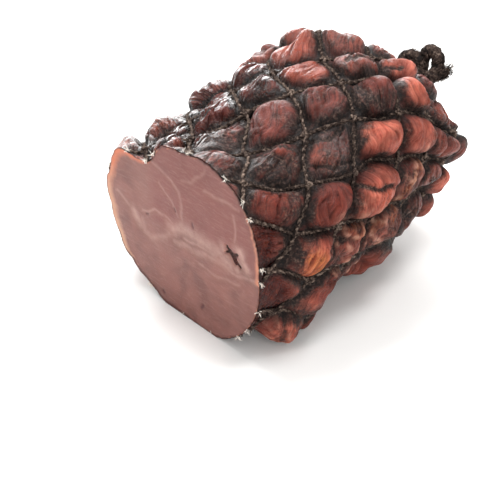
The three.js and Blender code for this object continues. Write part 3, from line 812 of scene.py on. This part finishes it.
# Knots: a small closed hitch over each crossing
knotLooks = {"size": 0.72, "thick": 0.75, "steps": 34, "sides": 6}
tubes = []
for down in range(-60, 60):
    for along in range(net["along"]):
        counts = np.array([float(down)]), np.array([float(along)])
        if not -6.0 < netPlace(*counts)[1][0] < twine["lastReach"] + twine["pastEnd"]:
            continue
        turn, reach = pulledPlace(*counts)
        if not 3.0 < reach[0] < twine["lastReach"]:
            continue
        t = np.linspace(0, 2 * math.pi, knotLooks["steps"])
        spin = chance(down, along, 11) * 2 * math.pi
        hitch = [np.sin(t) + 2 * np.sin(2 * t), np.cos(t) - 2 * np.cos(2 * t), -0.9 * np.sin(3 * t)]
        hitch = np.stack(hitch, -1)
        hitch *= knotLooks["size"] * mix(0.75, 1.25, chance(down, along, 12))
        hitch += 0.5 * np.stack([noiseField(hitch + down, 2.0, along + 9.0 * k) for k in range(3)], -1)
        normal = bodyNormal(np.radians(turn), lookUp(reach, tableReach, tableT))[0]
        right = unit(np.cross(normal, [0, 1, 0.01]))
        front = np.cross(normal, right)
        cos, sin = math.cos(spin), math.sin(spin)
        axes = np.array([right * cos + front * sin, front * cos - right * sin, normal])
        centre = skinPoint(turn, reach, floorHeight(turn, reach, *counts) + twine["lift"] + 0.7)[0]
        path = centre + hitch @ axes
        path[:, 2] = np.maximum(path[:, 2], knotLooks["thick"])
        normals = np.repeat([normal], len(path), 0)
        tint = chance(down, along, 13)
        tubes.append(addTube("knot", path, normals, knotLooks["thick"], knotLooks["sides"], tint))
knots = joinPieces("net_knots", tubes)
print("knots tied:", len(knots.data.polygons), "faces")


# Gathered end: the strings pulled through a tie into a loop, a hump and a frayed spur
gather = {
    "loop": [(20, 203, 96), (16.5, 209, 102), (15, 212, 107), (17, 214, 111.5), (21, 215, 112.5),
             (25, 214, 110.5), (26.5, 213, 106), (28, 210, 102), (25, 203, 97)],
    "hump": [(20, 203, 98), (15, 209, 105), (8, 211, 106.5), (3, 210, 105), (1.5, 204, 101)],
    "spur": [(27, 204, 97), (31, 209, 99.5), (33.5, 212, 103), (35, 215, 108.5)],
    "fork": [(28, 204, 97), (32, 209, 98.5), (35, 212, 101), (36.5, 214, 104)],
    "darker": 0.9, "tieRadius": 7.5, "tieWraps": 4, "step": 1.3, "sides": 8, "pitch": 15.0,
    "thick": {"loop": (2.6, 2.2), "hump": (2.4, 2.1), "spur": (1.0, 0.9), "fork": (0.7, 0.6)},
}


def smoothPath(route, count):
    route = np.asarray(route, float)
    padded = np.concatenate([[2 * route[0] - route[1]], route, [2 * route[-1] - route[-2]]])
    path = []
    for k in range(1, len(padded) - 2):
        a, b, c, d = padded[k - 1:k + 3]
        for u in np.arange(count) / count:
            curve = (2 * a - 5 * b + 4 * c - d) * u ** 2 + (3 * b - a - 3 * c + d) * u ** 3
            path.append(0.5 * (2 * b + (c - a) * u + curve))
    return np.array(path + [route[-1]])


tailPaths = []
tubes = []
for name, (thick, offset) in gather["thick"].items():
    path = evenPath(smoothPath(gather[name], 10) + packShift, gather["step"])
    normals = np.repeat([[0.2, 0.9, 0.4]], len(path), 0)
    tailPaths.append((path, normals, thick + offset))
    taper = np.ones(len(path))
    if name in ("spur", "fork"):
        taper = mix(1.0, 0.25, ease(0.5, 1.0, np.linspace(0, 1, len(path))))
    side, up = pathFrame(path, normals)
    lengths = np.linspace(0, gather["step"] * (len(path) - 1), len(path))
    for ply in range(4):
        angle = 2 * math.pi * (lengths / gather["pitch"] + ply / 4)
        around = up * np.cos(angle)[:, None] + side * np.sin(angle)[:, None]
        centre = path + (offset * taper)[:, None] * around
        centre = centre + 0.8 * np.stack([noiseField(centre, 4, ply * 3.1 + k) for k in range(3)], -1)
        rough = taper * (1 + 0.25 * noiseField(centre, 3.0, ply))
        tint = chance(ply, 3, 14) - gather["darker"]
        tubes.append(addTube("tail", centre, normals, thick * rough, gather["sides"], tint))
steps = np.linspace(0, 1, 30 * gather["tieWraps"])
angle = steps * 2 * math.pi * gather["tieWraps"]
tieRadius = gather["tieRadius"] * (1 - 0.25 * steps) + 0.4 * np.sin(angle * 1.7)
wrap = gatherPoint + np.stack([np.cos(angle) * tieRadius, -2.5 + 4.5 * steps, np.sin(angle) * tieRadius], -1)
wrap = evenPath(wrap, gather["step"])
tubes += addTwine("tie", wrap, np.repeat([[0.0, 1.0, 0.0]], len(wrap), 0), 0.9, 1.1, 2.0)
tail = joinPieces("net_tail", tubes)
print("gathered end tied:", len(tail.data.polygons), "faces")


# Fuzz: loose cotton fibres that stand off the strings, each a closed three-sided spike
fuzz = {"count": 9500, "tailCount": 1600, "length": (0.8, 3.4), "thick": (0.12, 0.22),
        "curl": 0.36, "seed": 7, "clear": 0.3}


def addSpikes(name, spikes):
    rings = np.array([[math.cos(a), math.sin(a)] for a in (0, 2.0944, 4.18879)])
    verts, faces, tints = [], [], []
    for root, middle, tip, thick, tint in spikes:
        run = unit(tip - root)
        side = unit(np.cross(run, [0.31, 0.85, 0.42]))
        up = np.cross(side, run)
        base = len(verts)
        for centre, size in ((root, thick), (middle, thick * 0.75)):
            verts += [centre + (side * a + up * b) * size for a, b in rings]
        verts.append(tip)
        faces.append((base, base + 2, base + 1))
        for k in range(3):
            n = (k + 1) % 3
            faces.append((base + k, base + n, base + 3 + n, base + 3 + k))
            faces.append((base + 3 + k, base + 3 + n, base + 6))
        tints += [tint] * 7
    mesh = bpy.data.meshes.new(name)
    mesh.from_pydata([tuple(v * mm) for v in verts], [], faces)
    piece = bpy.data.objects.new(name, mesh)
    bpy.context.scene.collection.objects.link(piece)
    storeValues(piece, "tint", tints)
    deselectAll()
    piece.select_set(True)
    bpy.context.view_layer.objects.active = piece
    editAll()
    bpy.ops.mesh.normals_make_consistent(inside=False)
    bpy.ops.object.mode_set(mode="OBJECT")
    return piece


draw = random.Random(fuzz["seed"])


def anyWay():
    return np.array([draw.uniform(-1, 1) for _ in range(3)])


def growSpike(root, way, curl, tipShare, thick):
    # a fibre with a bent middle, left out where it would touch the floor
    spike = [root, root + way * 0.5 + curl, root + way + curl * tipShare]
    if min(point[2] for point in spike) > fuzz["clear"]:
        spikes.append((*spike, draw.uniform(*thick), draw.random()))


sources = [(path, normals, twine["plyRadius"] + twine["plyOffset"]) for path, normals in stringPaths]
weights = [len(path) for path, _, _ in sources]
spikes = []
tailWeights = [1] * len(tailPaths)
for choices, chances in ((sources, weights), (tailPaths, tailWeights)):
    for _ in range(fuzz["count"] if choices is sources else fuzz["tailCount"]):
        path, normals, radius = draw.choices(choices, chances)[0]
        k = draw.randrange(1, len(path) - 1)
        run = unit(path[k + 1] - path[k - 1])
        up = unit(normals[k])
        side = unit(np.cross(run, up))
        angle = draw.uniform(-1.7, 1.7) if choices is sources else draw.uniform(-math.pi, math.pi)
        out = up * math.cos(angle) + side * math.sin(angle)
        root = path[k] + out * (radius - 0.35)
        lean = draw.uniform(-1.3, 1.3)
        way = unit(out + run * lean)
        length = draw.uniform(*fuzz["length"])
        growSpike(root, way * length, anyWay() * fuzz["curl"], 0.5, fuzz["thick"])
fuzzPiece = addSpikes("net_fuzz", spikes)
print("fuzz combed:", len(fuzzPiece.data.polygons), "faces")

# Cut ends: the net was cut with the ham, so its strings end in pale frayed tufts
cutEnds = {"nearCut": 9.0, "strands": (8, 18), "length": (1.4, 3.8), "thick": (0.14, 0.28),
           "spread": [(-0.8, 0.8), (-1.0, 0.3), (-0.8, 0.5)]}
spikes = []
for path, normals in stringPaths:
    if path[0][1] - planeMiddle[1] > cutEnds["nearCut"]:
        continue
    normal = unit(normals[0])
    for _ in range(draw.randint(*cutEnds["strands"])):
        out = normal * draw.uniform(0.1, 0.9)
        way = unit(out + [draw.uniform(*limits) for limits in cutEnds["spread"]])
        root = path[0] + anyWay()
        length = draw.uniform(*cutEnds["length"])
        growSpike(root, way * length, anyWay(), 0.3, cutEnds["thick"])
endPiece = addSpikes("net_cut_ends", spikes)
print("cut ends frayed:", len(endPiece.data.polygons), "faces")


def addNode(tree, looks, kind, settings=None, links=None):
    # a kind in capitals is a sum; colours are hex or names in looks
    # a link is a node, a node and one of its outputs, or a colour
    def colourOf(value):
        return linear(looks.get(value, value)) if isinstance(value, str) else (value, value, value, 1)

    node = tree.nodes.new("ShaderNode" + ("Math" if kind.isupper() else kind))
    if kind == "Mix":
        node.data_type = "RGBA"
    elif kind.isupper():
        node.operation = kind
    for key, value in (settings or {}).items():
        if key == "stops":
            ramp = node.color_ramp.elements
            for element, (place, colour) in zip(ramp, (value[0], value[-1])):
                element.position, element.color = place, colourOf(colour)
            for place, colour in value[1:-1]:
                ramp.new(place).color = colourOf(colour)
        elif isinstance(key, int) or key in node.inputs:
            node.inputs[key].default_value = colourOf(value) if isinstance(value, str) else value
        else:
            setattr(node, key, value)
    for key, source in (links or {}).items():
        if isinstance(source, str):
            node.inputs[key].default_value = colourOf(source)
            continue
        source, output = source if isinstance(source, tuple) else (source, None)
        usual = {"ShaderNodeAttribute": "Fac", "ShaderNodeTexCoord": "Object", "ShaderNodeMix": 2}
        output = usual.get(source.bl_idname, 0) if output is None else output
        tree.links.new(source.outputs[output], node.inputs[key])
    return node


def newMaterial(name, looks, attributes=()):
    material = bpy.data.materials.new(name)
    material.use_nodes = True
    material.node_tree.nodes.clear()
    add = functools.partial(addNode, material.node_tree, looks)
    return material, add, {key: add("Attribute", {"attribute_name": key}) for key in attributes}


def perMm(size):
    return 1 / (size * mm)


rindLooks = {
    "dark": "#2A0C08", "mid": "#5F2118", "light": "#7E3A2A",
    "emberDark": "#702B20", "ember": "#A84F3D", "emberLight": "#C0735D",
    # the furrow colour is painted shade for the furrows
    "furrow": "#140706", "smoke": "#6B5B58", "smokeDark": "#332928", "goldDark": "#8E3C18", "gold": "#D08038",
    "skinDark": "#2A0705", "skin": "#541A10", "skinLight": "#9C4526", "crumb": "#BE8E78",
    "char": "#070504", "charLight": "#281A16", "lint": "#715B50",
    "strand": (1.1, 13.0), "streak": (3.2, 20.0),  # mm across and along the fibres
}
# Pork rind hung in hot smoke: mahogany in strands, glossy where fat has run, black and matt in the valleys
# where char is mixed with painted shade, with painted shade low in each pocket and painted light on its top
rind, add, at = newMaterial("hot_smoked_pork_rind", rindLooks, barkValues)
spaceAt = add("TexCoord")
drawnOut = []
for name, detail, rough, bend in (("strand", 6.0, 0.6, 0.3), ("streak", 3.0, 0.55, 0.4)):
    across, run = rindLooks[name]
    scale = {"operation": "MULTIPLY", 1: (perMm(across), perMm(run), perMm(1))}
    fibreAt = add("VectorMath", scale, {0: (at["fibre"], "Vector")})
    looks = {"Scale": 1.0, "Detail": detail, "Roughness": rough, "Distortion": bend}
    drawnOut.append(add("TexNoise", looks, {"Vector": fibreAt}))
strands, streaks = drawnOut
mottles = []
for size, detail, rough, bend in ((13, 5.0, 0.65, 0.6), (1.9, 6.0, 0.75, 0.0), (4.2, 8.0, 0.75, 1.0)):
    looks = {"Scale": perMm(size), "Detail": detail, "Roughness": rough, "Distortion": bend}
    mottles.append(add("TexNoise", looks, {"Vector": spaceAt}))
patches, grain, crust = mottles
cells = add("TexVoronoi", {"Scale": perMm(3.2), "feature": "DISTANCE_TO_EDGE"}, {"Vector": spaceAt})
meatStops = [(0.27, "dark"), (0.45, "mid"), (0.8, "light")]
emberStops = [(0.25, "emberDark"), (0.42, "ember"), (0.8, "emberLight")]
skinStops = [(0.36, "skinDark"), (0.56, "skin"), (0.74, "skinLight")]
meatTone = add("ValToRGB", {"stops": meatStops}, {"Fac": strands})
emberTone = add("ValToRGB", {"stops": emberStops}, {"Fac": strands})
skinTone = add("ValToRGB", {"stops": skinStops}, {"Fac": crust})
smokeTone = add("ValToRGB", {"stops": [(0.35, "smokeDark"), (0.62, "smoke")]}, {"Fac": grain})
smokePart = add("MapRange", {"From Min": 0.3, "From Max": 0.58}, {"Value": crust})
smokeAmount = add("MULTIPLY", None, {0: at["soot"], 1: smokePart})
goldTone = add("ValToRGB", {"stops": [(0.4, "goldDark"), (0.65, "gold")]}, {"Fac": strands})
# Painted shade in the furrows
furrowShadeSoft = add("MULTIPLY", {1: 0.6}, {0: at["furrow"]})
charEdge = add("MULTIPLY_ADD", {1: 1.6, 2: -0.8}, {0: crust})
strandEdge = add("MULTIPLY_ADD", {1: -0.7, 2: 0.35}, {0: strands})
charBoth = add("ADD", None, {0: charEdge, 1: strandEdge})
charAndShadeSum = add("ADD", None, {0: at["char"], 1: charBoth})
charRange = {"From Min": 0.15, "From Max": 0.95, "To Max": 0.97, "interpolation_type": "SMOOTHSTEP"}
# Black char mixed with painted shade, beside the strings and in the creases
charAndShadeMask = add("MapRange", charRange, {"Value": charAndShadeSum})
charAndShadeStops = [(0.4, "char"), (0.52, "charLight"), (0.68, "lint")]
charAndShadeTone = add("ValToRGB", {"stops": charAndShadeStops}, {"Fac": grain})
colour = meatTone
for share, over in ((at["ember"], emberTone), (smokeAmount, smokeTone), (at["gold"], goldTone),
                    (at["crumb"], "crumb"), (furrowShadeSoft, "furrow"), (at["strip"], skinTone),
                    (charAndShadeMask, charAndShadeTone)):
    colour = add("Mix", None, {0: share, 6: colour, 7: over})
broad = add("MapRange", {"From Min": 0.3, "From Max": 0.7, "To Min": 0.65, "To Max": 1.5}, {"Value": patches})
# Painted shade and light: each pocket is darkened down into its valleys and painted lighter on its top
pocketPaintedShade = add("MapRange", {"To Min": 0.4, "To Max": 1.1}, {"Value": at["top"]})
darkWet = add("MapRange", {"From Min": 0.4, "To Min": 1.0, "To Max": 0.65}, {"Value": at["wet"]})
wetDarkAndPaintedShade = add("MULTIPLY", None, {0: darkWet, 1: pocketPaintedShade})
broadWetAndPaintedShade = add("MULTIPLY", None, {0: broad, 1: wetDarkAndPaintedShade})
shaded = add("VectorMath", {"operation": "SCALE"}, {0: colour, "Scale": broadWetAndPaintedShade})
roughWet = add("MapRange", {"To Min": 0.45, "To Max": -0.12}, {"Value": at["wet"]})
roughChar = add("MULTIPLY_ADD", {1: 0.12}, {0: charAndShadeMask, 2: roughWet})
roughGrain = add("MULTIPLY_ADD", {1: 0.36, "use_clamp": True}, {0: crust, 2: roughChar})
relief = add("MULTIPLY_ADD", {1: 0.8}, {0: strands, 2: crust})
cellEdge = add("MapRange", {"From Max": 0.12}, {"Value": cells})
bumpCells = add("Bump", {"Strength": 0.3, "Distance": 0.4 * mm}, {"Height": cellEdge})
bumpStrands = add("Bump", {"Strength": 0.9, "Distance": 1.3 * mm}, {"Height": relief, "Normal": bumpCells})
streakLinks = {"Strength": at["wet"], "Height": streaks, "Normal": bumpStrands}
bumpStreaks = add("Bump", {"Distance": 3.2 * mm}, streakLinks)
bumpGrain = add("Bump", {"Strength": 0.5, "Distance": 0.4 * mm}, {"Height": grain, "Normal": bumpStreaks})
shader = add("BsdfPrincipled", {"IOR": 1.45, "Specular IOR Level": 0.3},
                 {"Base Color": shaded, "Roughness": roughGrain, "Normal": bumpGrain})
add("OutputMaterial", None, {"Surface": shader})

meatLooks = {
    "pink": "#86544B", "rose": "#71433B", "upper": "#7A3C36", "pale": "#C19A8E", "mark": "#4E1E1C",
    "hole": "#150908", "fat": "#C0957B", "ember": "#C96C48", "edge": "#52221A",
}
# Cured and cooked pork, cut across: moist pink muscle, paler seams of fat and sinew, a browned rim
meat, add, at = newMaterial("cured_cooked_pork", meatLooks, faceValues)
spaceAt = add("TexCoord")
grainLies = {"Rotation": (0, math.radians(32), 0), "Scale": (perMm(9), perMm(9), perMm(1.7))}
grainAt = add("Mapping", grainLies, {"Vector": spaceAt})
strandLooks = {"Scale": 1.0, "Detail": 4.0, "Roughness": 0.6, "Distortion": 1.2}
meatStrands = add("TexNoise", strandLooks, {"Vector": grainAt})
muscle = add("TexNoise", {"Scale": perMm(24), "Detail": 2.0, "Distortion": 0.8}, {"Vector": spaceAt})
speckle = add("TexNoise", {"Scale": perMm(1.3), "Detail": 3.0, "Roughness": 0.6}, {"Vector": spaceAt})
blotch = add("TexNoise", {"Scale": perMm(5), "Detail": 5.0, "Roughness": 0.65}, {"Vector": spaceAt})
muscleTone = add("ValToRGB", {"stops": [(0.35, "rose"), (0.62, "pink")]}, {"Fac": muscle})
upperSoft = add("MULTIPLY", {1: 0.6}, {0: at["upper"]})
strandAmount = add("MapRange", {"From Min": 0.5, "From Max": 0.8, "To Max": 0.2}, {"Value": meatStrands})
paleBroken = add("MULTIPLY", {"use_clamp": True}, {0: at["pale"], 1: blotch})
paleMore = add("MULTIPLY", {1: 1.7, "use_clamp": True}, {0: paleBroken})
# Painted shade: the deep cavity in the meat is painted near black where its walls shade it
holeShadeMask = add("MapRange", {"From Min": 0.25, "From Max": 0.7}, {"Value": at["hollow"]})
rimNoise = add("MULTIPLY_ADD", {1: 4.0, 2: -2.0}, {0: blotch})
rimDistance = add("ADD", None, {0: at["rim"], 1: rimNoise})
# How far the fat and the browning reach in from the rim, by the angle round the cut
fatStops = [(0.0, 0.5), (0.07, 0.4), (0.14, 0.06), (0.26, 0.12), (0.34, 0.05), (0.4, 0.75),
            (0.46, 0.8), (0.56, 0.85), (0.63, 0.15), (0.8, 0.03), (0.95, 0.06)]
turnShare = add("DIVIDE", {1: 360.0}, {0: at["rimTurn"]})
fatWidth = add("ValToRGB", {"stops": fatStops}, {"Fac": turnShare})
fatReach = add("MULTIPLY", {1: 9.0}, {0: fatWidth})
fatShare = add("DIVIDE", None, {0: rimDistance, 1: fatReach})
fatMask = add("MapRange", {"From Min": 1.0, "From Max": 0.3}, {"Value": fatShare})
emberStops = [(0.0, 0.6), (0.12, 0.5), (0.22, 0.45), (0.3, 0.6), (0.38, 1.0), (0.44, 0.9),
              (0.49, 0.2), (0.6, 0.1), (0.7, 0.6), (0.97, 0.6)]
emberWhere = add("ValToRGB", {"stops": emberStops}, {"Fac": turnShare})
fatTone = add("Mix", {6: "fat", 7: "ember"}, {0: emberWhere})
edgeStops = [(0.0, 0.3), (0.12, 0.5), (0.3, 0.4), (0.45, 0.08), (0.56, 0.2), (0.63, 0.9),
             (0.72, 0.8), (0.8, 0.3)]
edgeWide = add("ValToRGB", {"stops": edgeStops}, {"Fac": turnShare})
edgeShare = add("MULTIPLY_ADD", {1: 2.6}, {0: edgeWide, 2: rimNoise})
edgeLeft = add("SUBTRACT", None, {0: edgeShare, 1: at["rim"]})
edgeSoft = add("MapRange", {"From Min": -0.6, "From Max": 0.8}, {"Value": edgeLeft})
colour = muscleTone
for share, over in ((upperSoft, "upper"), (strandAmount, "pale"), (paleMore, "pale"), (at["spot"], "mark"),
                    (holeShadeMask, "hole"), (fatMask, fatTone), (edgeSoft, "edge")):
    colour = add("Mix", None, {0: share, 6: colour, 7: over})
meatRough = add("MapRange", {"To Min": 0.3, "To Max": 0.6}, {"Value": speckle})
meatRelief = add("MULTIPLY_ADD", {1: 1.4}, {0: meatStrands, 2: speckle})
meatBump = add("Bump", {"Strength": 0.35, "Distance": 0.4 * mm}, {"Height": meatRelief})
# Light goes a little way into moist meat, red light furthest
moist = {"IOR": 1.4, "Subsurface Weight": 0.2, "Subsurface Radius": (1.0, 0.35, 0.2),
         "Subsurface Scale": 2.5 * mm}
shader = add("BsdfPrincipled", moist, {"Base Color": colour, "Roughness": meatRough, "Normal": meatBump})
add("OutputMaterial", None, {"Surface": shader})


def twineMaterial(name, stops):
    material, add, at = newMaterial(name, {}, ["tint"])
    spaceAt = add("TexCoord")
    lint = add("TexNoise", {"Scale": perMm(2.4), "Detail": 5.0, "Roughness": 0.7}, {"Vector": spaceAt})
    yarn = add("TexNoise", {"Scale": perMm(0.7), "Detail": 2.0}, {"Vector": spaceAt})
    tinted = add("MULTIPLY_ADD", {1: 0.14}, {0: at["tint"], 2: lint})
    tone = add("ValToRGB", {"stops": stops}, {"Fac": tinted})
    bump = add("Bump", {"Strength": 0.8, "Distance": 0.3 * mm}, {"Height": yarn})
    dull = {"Roughness": 0.9, "Specular IOR Level": 0.15}
    shader = add("BsdfPrincipled", dull, {"Base Color": tone, "Normal": bump})
    add("OutputMaterial", None, {"Surface": shader})
    return material


# Cotton twine blackened by smoke, with clean tan flecks where the fibres have lifted
sootStops = [(0.4, "#15100E"), (0.55, "#3A2E29"), (0.74, "#867468")]
sootyTwine = twineMaterial("smoke_stained_cotton_twine", sootStops)
# The same twine inside, where the knife has just cut it: clean cream cotton
cleanTwine = twineMaterial("fresh_cut_cotton", [(0.3, "#C9B7A6"), (0.6, "#EDE4DA"), (0.8, "#F7F2EC")])

for piece, material, node, slot in (
    (bark, rind, "ham", "ham_bark"), (cutMeat, meat, "ham", "ham_bark"),
    (strings, sootyTwine, "net", "net_string"), (knots, sootyTwine, "net", "net_string"),
    (tail, sootyTwine, "net", "net_string"), (fuzzPiece, sootyTwine, "net", "net_string"),
    (endPiece, cleanTwine, "net", "net_string"),
):
    piece.data.materials.clear()
    piece.data.materials.append(material)
    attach(piece, "root")
    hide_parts(node)
print("materials set")

# Studio: a pale floor, soft lights above, a weak fill in front and a low rim light far behind
studio = {"floor": "#F4F3F1", "world": "#FFFFFF", "worldPower": 0.68,
          "aim": (-0.04986, 0.0043, -0.02717), "azimuth": 43.46, "elevation": 33.82,
          "distance": 0.93, "lens": 95.08, "lightsAim": (0, -0.02, 0.06),
          "lights": [  # place, size and watts
              ("key", (-0.45, 0.1, 1.15), 0.5, 14.5), ("top", (0.3, 0.2, 1.25), 0.35, 7.5),
              ("fill", (1.0, -0.7, 0.7), 0.8, 5.0), ("rim", (-1.25, 0.88, 0.34), 0.8, 36.0)]}
deselectAll()
bpy.ops.mesh.primitive_plane_add(size=8)
floor = bpy.context.object
floor.name = "floor"
# Matt white paint: an even, dull ground that keeps only the soft shadow
floorMaterial, add, at = newMaterial("matt_white_paint", studio)
shader = add("BsdfPrincipled", {"Base Color": "floor", "Roughness": 0.9})
add("OutputMaterial", None, {"Surface": shader})
floor.data.materials.append(floorMaterial)


def facing(way):
    return way.to_track_quat("-Z", "Y").to_euler()


world = bpy.context.scene.world or bpy.data.worlds.new("studio")
bpy.context.scene.world = world
world.use_nodes = True
background = world.node_tree.nodes["Background"].inputs
background["Color"].default_value = linear(studio["world"])
background["Strength"].default_value = studio["worldPower"]
for name, place, size, power in studio["lights"]:
    bpy.ops.object.light_add(type="AREA", location=place)
    lamp = bpy.context.object
    lamp.name = name
    lamp.data.size = size
    lamp.data.energy = power
    lamp.rotation_euler = facing(Vector(studio["lightsAim"]) - Vector(place))

a, e = math.radians(studio["azimuth"]), math.radians(studio["elevation"])
back = Vector((math.sin(a) * math.cos(e), -math.cos(a) * math.cos(e), math.sin(e)))
bpy.ops.object.camera_add(location=Vector(studio["aim"]) + back * studio["distance"], rotation=facing(-back))
camera = bpy.context.object
camera.data.lens = studio["lens"]
camera.data.sensor_width = 36
bpy.context.scene.camera = camera
print("studio lit")
